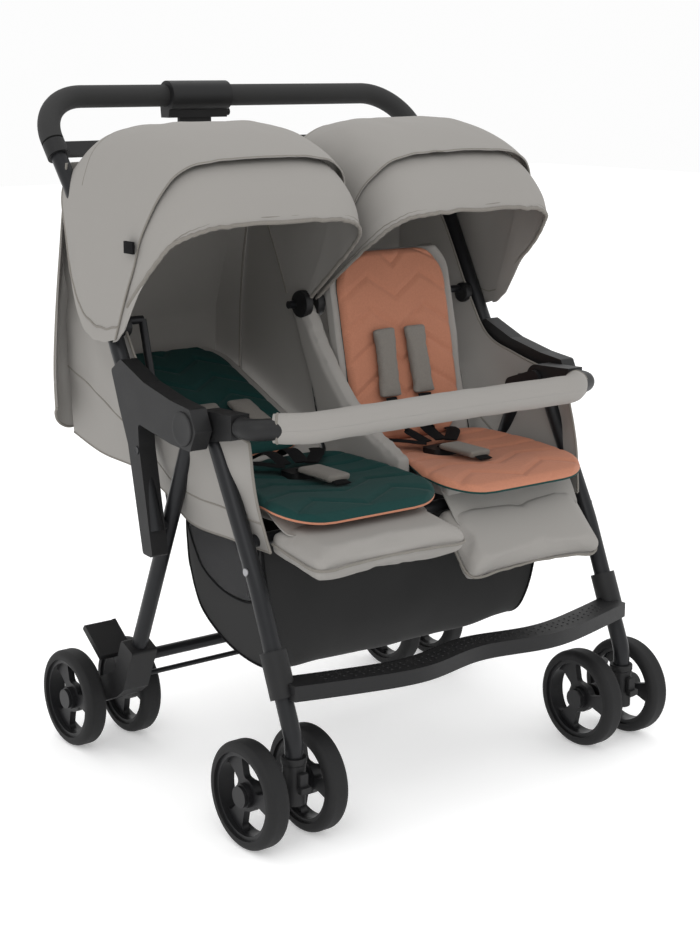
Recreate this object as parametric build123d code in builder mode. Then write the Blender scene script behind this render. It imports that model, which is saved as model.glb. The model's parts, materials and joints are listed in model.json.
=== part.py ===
"""Side-by-side twin stroller with a folding frame, swivel front wheels, reclining seats and two canopies.

Millimetres, +Z up, the front faces -Y. The origin is on the ground at the middle of the footprint.
Left is -X and right is +X.
"""
import os
from math import atan2, cos, degrees, hypot, radians, sin

from build123d import *

os.makedirs("parts", exist_ok=True)

LEFT = -1
RIGHT = 1
SIDE_NAMES = {LEFT: "left", RIGHT: "right"}

# Stance and wheels
track_half = 314.0
front_axle_y = -252.5
rear_axle_y = 221.5
wheel_radius = 75.0
tyre_width = 34.0
tyre_height = 14.0
twin_half = 49.0
axle_radius = 5.0
caster_trail = 34.0
hub_radius = 17.0

# Frame tubes
leg_radius = 12.0
front_leg_radius = 12.5
tube_wall = 1.5
seat_tube_radius = 7.0
cross_tube_radius = 9.0
push_bar_offset = 33.5
push_bar_half = track_half + push_bar_offset
push_bar_radius = 12.0
grip_radius = 17.0

# Main fold pivot and the push bar's side line
pivot_y = -98.0
pivot_z = 550.0
pivot_radius = 6.0
push_foot = (-2.0, 385.0)
push_knee = (50.0, 565.0)
handle_y = 314.5
handle_z = 985.0
shoulder_reach = 109.5
shoulder_drop = 135.0
push_shoulder = (handle_y - shoulder_reach, handle_z - shoulder_drop)
handle_corner = 78.0

# Seats
seat_inner = 30.0
seat_outer = 258.0
seat_front_y = -200.0
seat_back_y = 28.0
seat_bottom_z = 416.0
seat_thickness = 24.0
back_length = 308.0
back_thickness = 20.0
left_back_angle = 23.0
right_back_angle = 78.0
calf_length = 125.0
calf_thickness = 28.0
left_calf_drop = 9.0
right_calf_drop = 46.5

# Canopies
canopy_y = 114.5
canopy_z = 670.0
canopy_crown = 280.0
canopy_outer_edge = 252.0
canopy_inner_edge = 262.0
canopy_skin = 4.0
canopy_outer_x = 331.0
canopy_inner_x = 15.0
visor_front_angle = 142.0
visor_span = 28.0

# Bumper bar, basket and footrest
bumper_z = 558.0
bumper_radius = 15.0
spigot_radius = 9.0
basket_half = 268.0
basket_wall = 3.0
footrest_z = 205.0
footrest_height = 22.0
footrest_depth = 46.0

# Clearances
running_fit = 0.05
plate_gap = 2.0
soft_gap = 3.0


def save(piece, label):
    """Label a finished piece and write it as one STEP file."""
    piece.part.label = label
    export_step(piece.part, f"parts/{label}.step")


def tube(points, bend_radius, outer, wall=0.0):
    """A round tube along straight runs joined by arcs."""
    with BuildPart() as result:
        with BuildLine() as path:
            if len(points) == 2:
                Line(*points)
            else:
                FilletPolyline(*points, radius=bend_radius)
        with BuildSketch(Plane(origin=path.line @ 0, z_dir=path.line % 0)):
            Circle(outer)
            if wall > 0:
                Circle(outer - wall, mode=Mode.SUBTRACT)
        sweep()
    return result


def side_plane(side, inner):
    """The YZ plane at a distance from the middle, facing away from the middle."""
    return Plane.YZ.offset(side * inner)


def plate(side, inner, outer, points, corner=0.0, holes=()):
    """A flat piece between two distances from the middle, with a side profile in Y and Z."""
    with BuildPart() as result:
        with BuildSketch(side_plane(side, inner)) as profile:
            with BuildLine():
                Polyline(*points, close=True)
            make_face()
            if corner > 0:
                fillet(profile.vertices(), corner)
            for hole_y, hole_z, hole_radius in holes:
                with Locations((hole_y, hole_z)):
                    Circle(hole_radius, mode=Mode.SUBTRACT)
        extrude(amount=side * (outer - inner))
    return result


def along(start, end, distance):
    """The point at a distance along the line between two (y, z) points."""
    length = hypot(end[0] - start[0], end[1] - start[1])
    share = distance / length
    return start[0] + (end[0] - start[0]) * share, start[1] + (end[1] - start[1]) * share


def polar(center, radius, angle):
    """The (y, z) point at a radius and an angle from +Y towards +Z about a centre."""
    return center[0] + radius * cos(radians(angle)), center[1] + radius * sin(radians(angle))


pivot = (pivot_y, pivot_z)
canopy_pivot = (canopy_y, canopy_z)
stem_y = front_axle_y - caster_trail


# Wheels: eight alike, in four twin pairs. Each is a tyre on a rim with three wide spokes.
rim_radius = wheel_radius - tyre_height
rim_width = 26.0
rim_band = 6.0
window_span = 42.0
window_corner = 7.0
cap_height = 5.0


def make_tyre(x, y, label):
    """A rounded tyre about an axle along X."""
    with BuildPart() as tyre:
        with BuildSketch(Plane.XZ.offset(-y)) as profile:
            with Locations((x, wheel_radius + wheel_radius - tyre_height / 2)):
                Rectangle(tyre_width, tyre_height)
            outer_corners = profile.vertices().sort_by(Axis.Y)[-2:]
            fillet(outer_corners, tyre_height * 0.7)
        revolve(axis=Axis((x, y, wheel_radius), (1, 0, 0)))
    save(tyre, label)


def spoke_window():
    """One opening between two spokes, about the wheel's centre."""
    reach = rim_radius * 2
    with BuildSketch() as window:
        Circle(rim_radius - rim_band)
        Circle(hub_radius + 6, mode=Mode.SUBTRACT)
        with BuildSketch(mode=Mode.INTERSECT):
            corner_a = polar((0, 0), reach, window_span)
            corner_b = polar((0, 0), reach, -window_span)
            with BuildLine():
                Polyline((0, 0), corner_a, corner_b, close=True)
            make_face()
        fillet(window.vertices(), window_corner)
    return window.sketch


def make_rim(x, y, outward, label):
    """A spoked rim; outward is the direction of its capped face."""
    center_plane = Plane(origin=(x, y, wheel_radius), x_dir=(0, 1, 0), z_dir=(1, 0, 0))
    window = spoke_window()
    with BuildPart() as rim:
        with BuildSketch(center_plane):
            Circle(rim_radius - running_fit)
            Circle(rim_radius - rim_band, mode=Mode.SUBTRACT)
        extrude(amount=rim_width / 2, both=True)
        with BuildSketch(center_plane):
            Circle(rim_radius - rim_band / 2)
            with PolarLocations(0, 3):
                add(window, mode=Mode.SUBTRACT)
        extrude(amount=rim_width / 5, both=True)
        with BuildSketch(center_plane):
            Circle(hub_radius)
        extrude(amount=rim_width / 2, both=True)
        with BuildSketch(center_plane.offset(outward * rim_width / 2)):
            Circle(hub_radius - 2)
        extrude(amount=outward * cap_height)
        with BuildSketch(center_plane.offset(-outward * rim_width / 2)):
            Circle(axle_radius + running_fit)
        extrude(amount=outward * (rim_width - 2), mode=Mode.SUBTRACT)
    save(rim, label)


for side in (LEFT, RIGHT):
    for place, axle_y in (("front", front_axle_y), ("rear", rear_axle_y)):
        for position, outward in (("inner", -side), ("outer", side)):
            wheel_x = side * track_half + outward * twin_half
            name = f"{place}_{SIDE_NAMES[side]}_{position}"
            make_tyre(wheel_x, axle_y, f"{name}_tyre")
            make_rim(wheel_x, axle_y, outward, f"{name}_rim")

# How far an axle reaches into the blind bore of each rim.
axle_reach = twin_half + rim_width / 2 - 4


# Rear frame: two legs, a cross tube, brackets that carry the rear axles, and the fold pivots.
rear_slope = 0.441
rear_top = (pivot_y + 42.7, pivot_z - 5.0)
rear_leg_end_z = wheel_radius + 40.0
rear_end = (rear_top[0] + rear_slope * (rear_top[1] - rear_leg_end_z), rear_leg_end_z)
rear_plate_inner = track_half - 24.0
rear_plate_outer = track_half - 17.0
rear_joint = along(rear_top, rear_end, 13)
latch = along(rear_top, rear_end, 170)
tyre_gap = 5.0
brake_y = rear_axle_y - wheel_radius - tyre_gap
cross_tube = (brake_y, wheel_radius + 73.0)
bracket_half = 22.0


def make_rear_leg(side):
    """A rear leg tube with its pivot plate at the top and the latch boss that faces the push bar."""
    x = side * track_half
    with BuildPart() as leg:
        add(tube([(x, *rear_top), (x, *rear_end)], 0, leg_radius, tube_wall).part)
        with BuildSketch(side_plane(side, rear_plate_inner)) as ears:
            with Locations(pivot, rear_joint):
                Circle(14)
            make_hull()
            with Locations(pivot):
                Circle(pivot_radius, mode=Mode.SUBTRACT)
        extrude(amount=side * (rear_plate_outer - rear_plate_inner))
        with BuildSketch(side_plane(side, rear_plate_outer)):
            with Locations(rear_joint):
                Circle(9)
        extrude(amount=side * (track_half - rear_plate_outer + 8))
        with BuildSketch(side_plane(side, track_half + leg_radius - 4)):
            with Locations(latch):
                Circle(9)
        extrude(amount=side * 10)
    save(leg, f"rear_leg_{SIDE_NAMES[side]}")


for side in (LEFT, RIGHT):
    make_rear_leg(side)

with BuildPart() as rear_cross_tube:
    tube_reach = track_half - bracket_half
    add(tube([(-tube_reach, *cross_tube), (tube_reach, *cross_tube)], 0, cross_tube_radius, tube_wall).part)
save(rear_cross_tube, "rear_cross_tube")

leg_direction = degrees(atan2(rear_end[1] - rear_top[1], rear_end[0] - rear_top[0]))
across = leg_direction + 90
socket_half = leg_radius + 5
socket_top = along(rear_end, rear_top, 72)
socket_low = along(rear_end, rear_top, 10)
bracket_profile = [
    polar(socket_top, socket_half, across),
    polar(socket_low, socket_half, across),
    (rear_axle_y + 8, wheel_radius + 19),
    (rear_axle_y + 20, wheel_radius + 6),
    (rear_axle_y + 18, wheel_radius - 12),
    (rear_axle_y, wheel_radius - 20),
    (rear_end[0] + 4, rear_end[1] - 22),
    polar(rear_end, socket_half, across + 180),
    polar(socket_top, socket_half, across + 180),
]
with BuildPart() as rear_axle_brackets:
    for side in (LEFT, RIGHT):
        hole = (rear_axle_y, wheel_radius, axle_radius)
        inner = track_half - bracket_half
        add(plate(side, inner, track_half + bracket_half, bracket_profile, 4, [hole]).part)
    for side in (LEFT, RIGHT):
        x = side * track_half
        add(tube([(x, *rear_top), (x, *rear_end)], 0, leg_radius).part, mode=Mode.SUBTRACT)
save(rear_axle_brackets, "rear_axle_brackets")

with BuildPart() as rear_axles:
    for side in (LEFT, RIGHT):
        with BuildSketch(Plane.YZ.offset(side * track_half)):
            with Locations((rear_axle_y, wheel_radius)):
                Circle(axle_radius)
        extrude(amount=axle_reach, both=True)
save(rear_axles, "rear_axles")

with BuildPart() as fold_pivots:
    for side in (LEFT, RIGHT):
        with BuildSketch(side_plane(side, rear_plate_inner)):
            with Locations(pivot):
                Circle(pivot_radius)
        extrude(amount=side * 69)
save(fold_pivots, "fold_pivots")


# Brake: a paddle between each pair of rear wheels, joined by one rod on which both turn.
brake_axis = (brake_y, wheel_radius + 43.0)
brake_tip = (brake_axis[0] + 86.5, brake_axis[1] + 64.0)
brake_rod_radius = 4.0
arm_inner = track_half - 29.5
arm_outer = track_half - 23.5
paddle_half = 26.0


def lever(start, end, half):
    """The four corners of a straight bar between two (y, z) points."""
    direction = degrees(atan2(end[1] - start[1], end[0] - start[0]))
    return [
        polar(start, half, direction + 90),
        polar(end, half, direction + 90),
        polar(end, half, direction - 90),
        polar(start, half, direction - 90),
    ]


def make_brake_pedal(side):
    """A pedal arm with an eye on the rod and a wide paddle at its end."""
    with BuildPart() as pedal:
        add(plate(side, arm_inner, arm_outer, lever(brake_axis, brake_tip, 5)).part)
        with BuildSketch(side_plane(side, arm_inner)):
            with Locations(brake_axis):
                Circle(9)
        extrude(amount=side * (arm_outer - arm_inner))
        paddle = lever(along(brake_axis, brake_tip, 44), brake_tip, 5)
        add(plate(side, arm_outer - 1, track_half + paddle_half, paddle, 2).part)
        with BuildSketch(side_plane(side, arm_inner - 5)):
            with Locations(brake_axis):
                Circle(brake_rod_radius)
        extrude(amount=side * 20, mode=Mode.SUBTRACT)
    save(pedal, f"brake_pedal_{SIDE_NAMES[side]}")


for side in (LEFT, RIGHT):
    make_brake_pedal(side)

with BuildPart() as brake_rod:
    with BuildSketch(Plane.YZ):
        with Locations(brake_axis):
            Circle(brake_rod_radius)
    extrude(amount=arm_outer, both=True)
save(brake_rod, "brake_rod")


# Front legs: each bends from the fold pivot's slope to an upright stem that holds the caster's pin.
leg_knee = (pivot_y - 107.5, pivot_z - 204.0)
leg_ankle = (stem_y, 150.0)
leg_foot = (stem_y, 119.0)
leg_start = along(pivot, leg_knee, 16)
kingpin_radius = 6.0
kingpin_length = 24.0


def make_front_leg(side):
    """A front leg tube with a plug at its foot that the caster's pin turns in."""
    x = side * track_half
    route = [(x, *leg_start), (x, *leg_knee), (x, *leg_ankle), (x, *leg_foot)]
    with BuildPart() as leg:
        add(tube(route, [300, 60], front_leg_radius, tube_wall).part)
        with BuildSketch(Plane.XY.offset(leg_foot[1])):
            with Locations((x, stem_y)):
                Circle(front_leg_radius - tube_wall / 2)
                Circle(kingpin_radius + running_fit, mode=Mode.SUBTRACT)
        extrude(amount=kingpin_length)
    save(leg, f"front_leg_{SIDE_NAMES[side]}")


for side in (LEFT, RIGHT):
    make_front_leg(side)

# Bumper sockets: the front leg's hub on the fold pivot, with a forward arm that the bumper bar plugs into.
socket_inner = rear_plate_outer + plate_gap
socket_outer = track_half + 15.0
hub_disc = 22.5
socket_mouth_y = -168.0
socket_depth = 38.0
with BuildPart() as bumper_sockets:
    for side in (LEFT, RIGHT):
        with BuildSketch(side_plane(side, socket_inner)):
            with Locations(pivot):
                Circle(hub_disc)
            with BuildLine():
                Polyline(
                    (socket_mouth_y, bumper_z - 17),
                    (socket_mouth_y, bumper_z + 17),
                    (pivot_y + 2, pivot_z + hub_disc - 0.5),
                    (pivot_y - 6, pivot_z - hub_disc + 1),
                    close=True,
                )
            make_face()
            with Locations(pivot):
                Circle(pivot_radius + running_fit, mode=Mode.SUBTRACT)
        extrude(amount=side * (socket_outer - socket_inner))
        with BuildSketch(Plane.XZ.offset(-socket_mouth_y)):
            with Locations((side * track_half, bumper_z)):
                Circle(spigot_radius + running_fit)
        extrude(amount=-socket_depth, mode=Mode.SUBTRACT)
save(bumper_sockets, "bumper_sockets")

bar_end_y = socket_mouth_y - 2
bar_bend_x = track_half - 79.0
bar_route = [
    (-track_half, bar_end_y, bumper_z),
    (-track_half, bar_end_y - 24, bumper_z),
    (-bar_bend_x, bar_end_y - 59, bumper_z),
    (0, bar_end_y - 55, bumper_z),
    (bar_bend_x, bar_end_y - 59, bumper_z),
    (track_half, bar_end_y - 24, bumper_z),
    (track_half, bar_end_y, bumper_z),
]
with BuildPart() as bumper_bar:
    add(tube(bar_route, [22, 90, 2000, 90, 22], bumper_radius).part)
    for side in (LEFT, RIGHT):
        with BuildSketch(Plane.XZ.offset(-bar_end_y + 3)):
            with Locations((side * track_half, bumper_z)):
                Circle(spigot_radius)
        extrude(amount=-(socket_depth - 4))
save(bumper_bar, "bumper_bar")

# Footrest: a bar with two forward lobes between collars that clamp the front legs.
collar_low = along(leg_ankle, leg_knee, 58)
collar_high = along(leg_ankle, leg_knee, 122)
lobe_y = -331.3
bar_front = [(0, lobe_y + 19), (108, lobe_y), (215, lobe_y + 14), (track_half, collar_low[0] - 26)]
with BuildPart() as footrest:
    with BuildSketch(Plane.XY.offset(footrest_z)):
        with BuildLine():
            front = Spline(*[(-px, py) for px, py in reversed(bar_front[1:])], *bar_front)
            back = Spline(*[(-px, py + footrest_depth) for px, py in reversed(bar_front[1:])],
                          *[(px, py + footrest_depth) for px, py in bar_front])
            Line(front @ 0, back @ 0)
            Line(front @ 1, back @ 1)
        make_face()
    extrude(amount=footrest_height)
    for side in (LEFT, RIGHT):
        x = side * track_half
        add(tube([(x, *collar_low), (x, *collar_high)], 0, front_leg_radius + 6).part)
    for side in (LEFT, RIGHT):
        x = side * track_half
        add(tube([(x, *leg_ankle), (x, *leg_knee)], 0, front_leg_radius).part, mode=Mode.SUBTRACT)
save(footrest, "footrest_bar")


# Casters: a housing on a pin, with the axle behind the pin, and a sliding swivel lock in front.
fork_top = leg_foot[1] - 1.0
fork_half = 26.0
housing_radius = 16.0


def make_caster(side):
    """A caster housing with its kingpin and the axle that carries the twin front wheels."""
    x = side * track_half
    with BuildPart() as caster:
        with BuildSketch(Plane.XY.offset(62)):
            with Locations((x, stem_y)):
                Circle(housing_radius)
        extrude(amount=fork_top - 62)
        with BuildSketch(Plane.XY.offset(fork_top)):
            with Locations((x, stem_y)):
                Circle(kingpin_radius)
        extrude(amount=kingpin_length)
        with BuildSketch(Plane.YZ.offset(x)):
            with Locations((front_axle_y, wheel_radius)):
                Circle(15)
        extrude(amount=fork_half, both=True)
        web = [(stem_y, 64), (stem_y, 108), (front_axle_y + 4, 88), (front_axle_y + 4, 62)]
        with BuildSketch(Plane.YZ.offset(x)):
            with BuildLine():
                Polyline(*web, close=True)
            make_face()
        extrude(amount=housing_radius - 4, both=True)
        with BuildSketch(Plane.YZ.offset(x)):
            with Locations((front_axle_y, wheel_radius)):
                Circle(axle_radius)
        extrude(amount=axle_reach, both=True)
    save(caster, f"caster_{SIDE_NAMES[side]}")


def make_swivel_lock(side):
    """A small tab that slides up in front of the caster housing."""
    x = side * track_half
    with BuildPart() as lock:
        with BuildSketch(Plane.XY.offset(84)):
            with Locations((x, stem_y - housing_radius - 5)):
                RectangleRounded(14, 7, 2)
        extrude(amount=26)
        with BuildSketch(Plane.XY.offset(84)):
            with Locations((x, stem_y - housing_radius - 9)):
                RectangleRounded(18, 9, 2)
        extrude(amount=8)
    save(lock, f"swivel_lock_{SIDE_NAMES[side]}")


for side in (LEFT, RIGHT):
    make_caster(side)
    make_swivel_lock(side)


# Seat frame: cross tubes between the legs, side rails, and uprights that carry the canopies.
front_rail = (-175.5, 400.0)
back_rail = (45.0, 402.0)
rail_half = 278.0
upright_half = 291.0
with BuildPart() as seat_frame_tubes:
    add(tube([(-track_half + 6, *front_rail), (track_half - 6, *front_rail)], 0, cross_tube_radius).part)
    add(tube([(-upright_half, *back_rail), (upright_half, *back_rail)], 0, seat_tube_radius).part)
    for side in (LEFT, RIGHT):
        x = side * rail_half
        add(tube([(x, *front_rail), (x, *back_rail)], 0, seat_tube_radius).part)
        x = side * upright_half
        add(tube([(x, *back_rail), (x, *canopy_pivot)], 0, seat_tube_radius - 1).part)
    add(tube([(0, *back_rail), (0, *canopy_pivot)], 0, seat_tube_radius - 1).part)
save(seat_frame_tubes, "seat_frame_tubes")


def make_seat(side):
    """A seat cushion between the middle divider and the outer side panel."""
    width = seat_outer - seat_inner
    length = seat_back_y - seat_front_y
    with BuildPart() as seat:
        with BuildSketch(Plane.XY.offset(seat_bottom_z)):
            with Locations((side * (seat_inner + width / 2), seat_front_y + length / 2)):
                RectangleRounded(width, length, 24)
        extrude(amount=seat_thickness)
    save(seat, f"seat_{SIDE_NAMES[side]}")


def make_pad(side, hinge, angle, start, length, thickness, label, eye_radius, bore_radius):
    """A flat pad on two eyes that turn on an X axis: angle from +Y towards +Z."""
    width = seat_outer - seat_inner - 4
    near = polar(hinge, start, angle)
    far = polar(hinge, start + length, angle)
    with BuildPart() as pad:
        middle = side * (seat_inner + seat_outer) / 2
        with BuildSketch(Plane.YZ.offset(middle)):
            with BuildLine():
                Polyline(*lever(near, far, thickness / 2), close=True)
            make_face()
        extrude(amount=width / 2, both=True)
        fillet(pad.edges().filter_by(Axis.X), thickness * 0.35)
        root = polar(hinge, start + 6, angle)
        for offset in (-width / 3, width / 3):
            with BuildSketch(Plane.YZ.offset(middle + offset)):
                with Locations(hinge):
                    Circle(eye_radius)
                with BuildLine():
                    Polyline(*lever(hinge, root, eye_radius * 0.7), close=True)
                make_face()
            extrude(amount=10, both=True)
        with BuildSketch(Plane.YZ.offset(middle)):
            with Locations(hinge):
                Circle(bore_radius)
        extrude(amount=width / 2, both=True, mode=Mode.SUBTRACT)
    save(pad, label)


back_hinge = (seat_back_y + 14.0, seat_bottom_z + 22.0)
calf_start = 16.0
calf_bore = cross_tube_radius + running_fit
calf_eye = cross_tube_radius + 4
back_eye = 7.0
back_bore = 3.0
back_start = 4.0
postures = ((LEFT, left_back_angle, left_calf_drop), (RIGHT, right_back_angle, right_calf_drop))
for side, back_angle, calf_drop in postures:
    name = SIDE_NAMES[side]
    back_label = f"backrest_{name}"
    calf_label = f"calf_rest_{name}"
    calf_angle = 180 + calf_drop
    make_seat(side)
    back_size = (back_start, back_length, back_thickness)
    calf_size = (calf_start, calf_length, calf_thickness)
    make_pad(side, back_hinge, back_angle, *back_size, back_label, back_eye, back_bore)
    make_pad(side, front_rail, calf_angle, *calf_size, calf_label, calf_eye, calf_bore)

# Middle divider and outer side panels, both fabric over foam.
divider_profile = [
    (-130, 424), (30, 424), (60, 460), (132, 648), (126, 690),
    (100, 690), (40, 610), (-60, 520), (-130, 462),
]
with BuildPart() as divider:
    add(plate(RIGHT, -11, 11, divider_profile, 8).part)
    add(tube([(0, *back_rail), (0, *canopy_pivot)], 0, seat_tube_radius - 1).part, mode=Mode.SUBTRACT)
    with BuildSketch(Plane.YZ):
        with Locations(canopy_pivot):
            Circle(pivot_radius)
    extrude(amount=20, both=True, mode=Mode.SUBTRACT)
save(divider, "seat_divider")

panel_profile = [(-185, 418), (25, 418), (70, 470), (96, 600), (60, 600), (-80, 575), (-165, 520)]
with BuildPart() as side_panels:
    for side in (LEFT, RIGHT):
        add(plate(side, 261.5, 267.5, panel_profile, 10).part)
save(side_panels, "side_panels")

# Basket: an open cloth box with sloping ends, hung under the seat.
basket_profile = [(-146, 386), (-118, 184), (-96, 176), (10, 258), (72, 300), (84, 386)]
inset = basket_wall
basket_hollow = [
    (-146 + inset, 400), (-118 + inset, 184 + inset), (-96, 176 + inset * 1.4),
    (8, 258 + inset), (72 - inset, 302), (84 - inset, 400),
]
with BuildPart() as basket:
    add(plate(RIGHT, -basket_half, basket_half, basket_profile).part)
    hollow = plate(RIGHT, -basket_half + inset, basket_half - inset, basket_hollow)
    add(hollow.part, mode=Mode.SUBTRACT)
save(basket, "basket")


# Canopies: a fixed rear shell and a front visor that nests inside it, both turned about the canopy pivot.
def shell_profile(side, inset_by):
    """The U-shaped section of a canopy skin, in X and radius about the canopy pivot."""
    outer_x = canopy_outer_x - inset_by
    inner_x = canopy_inner_x + inset_by
    middle_x = (outer_x + inner_x) / 2
    bore = pivot_radius + running_fit

    def arc(x_inset, r_inset):
        start = (side * (inner_x + x_inset), canopy_inner_edge - inset_by - r_inset)
        crown = (side * middle_x, canopy_crown - inset_by - r_inset)
        end = (side * (outer_x - x_inset), canopy_outer_edge - inset_by - r_inset)
        return start, crown, end

    outside = arc(0, 0)
    inside = arc(canopy_skin, canopy_skin)
    with BuildSketch() as section:
        with BuildLine():
            ThreePointArc(*outside)
            ThreePointArc(*inside)
            Polyline(outside[0], (outside[0][0], bore), (inside[0][0], bore), inside[0])
            Polyline(outside[2], (outside[2][0], bore), (inside[2][0], bore), inside[2])
        make_face()
    return section.sketch


def turned_shell(side, inset_by, start_angle, end_angle):
    """A canopy skin swept between two angles about the canopy pivot."""
    radial = (0, cos(radians(start_angle)), sin(radians(start_angle)))
    plane = Plane(origin=(0, *canopy_pivot), x_dir=(1, 0, 0), z_dir=Vector(1, 0, 0).cross(Vector(*radial)))
    with BuildPart() as shell:
        add(plane * shell_profile(side, inset_by))
        revolve(axis=Axis((0, *canopy_pivot), (1, 0, 0)), revolution_arc=end_angle - start_angle)
    return shell


rear_arc_start = 76.0
rear_arc_end = visor_front_angle - visor_span + 4
curtain_top = (236.0, 893.0)
curtain_foot = (260.5, 690.0)


def make_canopy_shell(side):
    """The fixed canopy: a crowned top, a back curtain that hangs straight, and two side walls."""
    rim_angle = rear_arc_start + 1.5
    outline = [
        canopy_pivot, polar(canopy_pivot, canopy_outer_edge - 3, rim_angle), curtain_top, curtain_foot,
        (curtain_foot[0] - 40, curtain_foot[1] - 20), (canopy_y + 6, canopy_z - 16),
    ]
    seam_low = canopy_outer_edge - 40
    curtain = [
        polar(canopy_pivot, seam_low, rim_angle), polar(canopy_pivot, canopy_crown - 0.5, rim_angle),
        curtain_top, curtain_foot, (curtain_foot[0] - canopy_skin, curtain_foot[1]),
        (curtain_top[0] - canopy_skin, curtain_top[1] - 5),
        polar(canopy_pivot, canopy_crown - 8, rim_angle - 3), polar(canopy_pivot, seam_low, rim_angle - 3),
    ]
    with BuildPart() as canopy:
        add(turned_shell(side, 0, rear_arc_start, rear_arc_end).part)
        for wall_inner, wall_outer in (
            (canopy_inner_x, canopy_inner_x + canopy_skin),
            (canopy_outer_x - canopy_skin, canopy_outer_x),
        ):
            add(plate(side, wall_inner, wall_outer, outline).part)
            with BuildSketch(side_plane(side, wall_inner)):
                with Locations(canopy_pivot):
                    Circle(16)
            extrude(amount=side * canopy_skin)
        add(plate(side, canopy_inner_x, canopy_outer_x, curtain).part)
        with BuildSketch(Plane.YZ):
            with Locations(canopy_pivot):
                Circle(pivot_radius + running_fit)
        extrude(amount=side * 400, mode=Mode.SUBTRACT)
    save(canopy, f"canopy_{SIDE_NAMES[side]}")


def make_visor(side):
    """The front part of the canopy, with a hub disc on each side wall."""
    nest = canopy_skin + soft_gap
    with BuildPart() as visor:
        add(turned_shell(side, nest, visor_front_angle - visor_span, visor_front_angle).part)
        for wall in (canopy_inner_x + nest, canopy_outer_x - nest - canopy_skin):
            with BuildSketch(side_plane(side, wall)):
                with Locations(canopy_pivot):
                    Circle(16)
                    Circle(pivot_radius + running_fit, mode=Mode.SUBTRACT)
            extrude(amount=side * canopy_skin)
    save(visor, f"visor_{SIDE_NAMES[side]}")


for side in (LEFT, RIGHT):
    make_canopy_shell(side)
    make_visor(side)

with BuildPart() as canopy_pivots:
    with BuildSketch(Plane.YZ):
        with Locations(canopy_pivot):
            Circle(pivot_radius)
    extrude(amount=28, both=True)
    for side in (LEFT, RIGHT):
        with BuildSketch(side_plane(side, upright_half)):
            with Locations(canopy_pivot):
                Circle(pivot_radius)
        extrude(amount=side * (canopy_outer_x + 2 - upright_half))
save(canopy_pivots, "canopy_pivots")

# Crotch buckles, one to a seat, each with a round release button.
buckle_y = -62.0
buckle_x = 135.0
buckle_z = seat_bottom_z + seat_thickness + 3
buckle_height = 13.0
button_radius = 7.0
with BuildPart() as buckles:
    for side in (LEFT, RIGHT):
        with BuildSketch(Plane.XY.offset(buckle_z)):
            with Locations((side * buckle_x, buckle_y)):
                RectangleRounded(52, 38, 9)
        extrude(amount=buckle_height)
        with BuildSketch(Plane.XY.offset(buckle_z + 5)):
            with Locations((side * buckle_x, buckle_y)):
                Circle(button_radius + 0.5)
        extrude(amount=buckle_height, mode=Mode.SUBTRACT)
        with BuildSketch(Plane.XY.offset(buckle_z - 3)):
            with Locations((side * buckle_x, buckle_y)):
                Rectangle(24, 12)
        extrude(amount=5)
save(buckles, "buckles")
for side in (LEFT, RIGHT):
    with BuildPart() as button:
        with BuildSketch(Plane.XY.offset(buckle_z + 8)):
            with Locations((side * buckle_x, buckle_y)):
                Circle(button_radius)
        extrude(amount=6)
    save(button, f"buckle_button_{SIDE_NAMES[side]}")


# Push bar: one bent tube with a foam grip, a flat brace, and armrests that turn on the fold pivot.
handle = (handle_y, handle_z)
knee_radius = 150.0


def handle_route(half, start):
    """The push bar's route from a start point on one side, over the handle, to the other side."""
    lower = list(start)
    left = [(-half, *point) for point in lower]
    right = [(half, *point) for point in reversed(lower)]
    return left + [(-half, *handle), (half, *handle)] + right


with BuildPart() as push_bar:
    bends = [knee_radius, knee_radius, handle_corner, handle_corner, knee_radius, knee_radius]
    route = handle_route(push_bar_half, [push_foot, push_knee, push_shoulder])
    add(tube(route, bends, push_bar_radius, tube_wall).part)
save(push_bar, "push_bar")

grip_start = along(push_shoulder, handle, 92)
with BuildPart() as grip:
    bends = [handle_corner, handle_corner]
    route = handle_route(push_bar_half, [grip_start])
    add(tube(route, bends, grip_radius, grip_radius - push_bar_radius).part)
save(grip, "handle_grip")

brace_mid = along(push_shoulder, handle, 77)
brace_low = along(push_shoulder, handle, 65)
brace_high = along(push_shoulder, handle, 89)
with BuildPart() as brace:
    add(plate(RIGHT, -push_bar_half, push_bar_half, lever(brace_low, brace_high, 4)).part)
    for side in (LEFT, RIGHT):
        x = side * push_bar_half
        add(tube([(x, *brace_low), (x, *brace_high)], 0, push_bar_radius + 5).part)
    for side in (LEFT, RIGHT):
        x = side * push_bar_half
        add(tube([(x, *push_shoulder), (x, *grip_start)], 0, push_bar_radius).part, mode=Mode.SUBTRACT)
save(brace, "handle_brace")

housing_x = -65.0
housing_width = 110.0
housing_depth = 30.0
housing_low = handle_z - 34
trigger_travel = 8.0
lock_travel = 4.0
lock_radius = 6.0
with BuildPart() as fold_housing:
    with BuildSketch(Plane.YZ.offset(housing_x)):
        with Locations((handle_y - 5.5, handle_z)):
            Circle(grip_radius + 6)
        with BuildLine():
            Polyline(
                (handle_y - housing_depth / 2, handle_z),
                (handle_y + housing_depth / 2, handle_z),
                (handle_y + housing_depth / 2 - 4, housing_low),
                (handle_y - housing_depth / 2 + 4, housing_low),
                close=True,
            )
        make_face()
        with Locations(handle):
            Circle(grip_radius, mode=Mode.SUBTRACT)
    extrude(amount=housing_width / 2, both=True)
    with BuildSketch(Plane.XY.offset(housing_low)):
        with Locations((housing_x, handle_y)):
            Rectangle(62, 12)
    extrude(amount=trigger_travel + 4, mode=Mode.SUBTRACT)
    with BuildSketch(Plane.YZ.offset(housing_x + housing_width / 2)):
        with Locations((handle_y, housing_low + 8)):
            Circle(lock_radius + running_fit)
    extrude(amount=-lock_travel - 1.5, mode=Mode.SUBTRACT)
save(fold_housing, "fold_housing")

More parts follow.
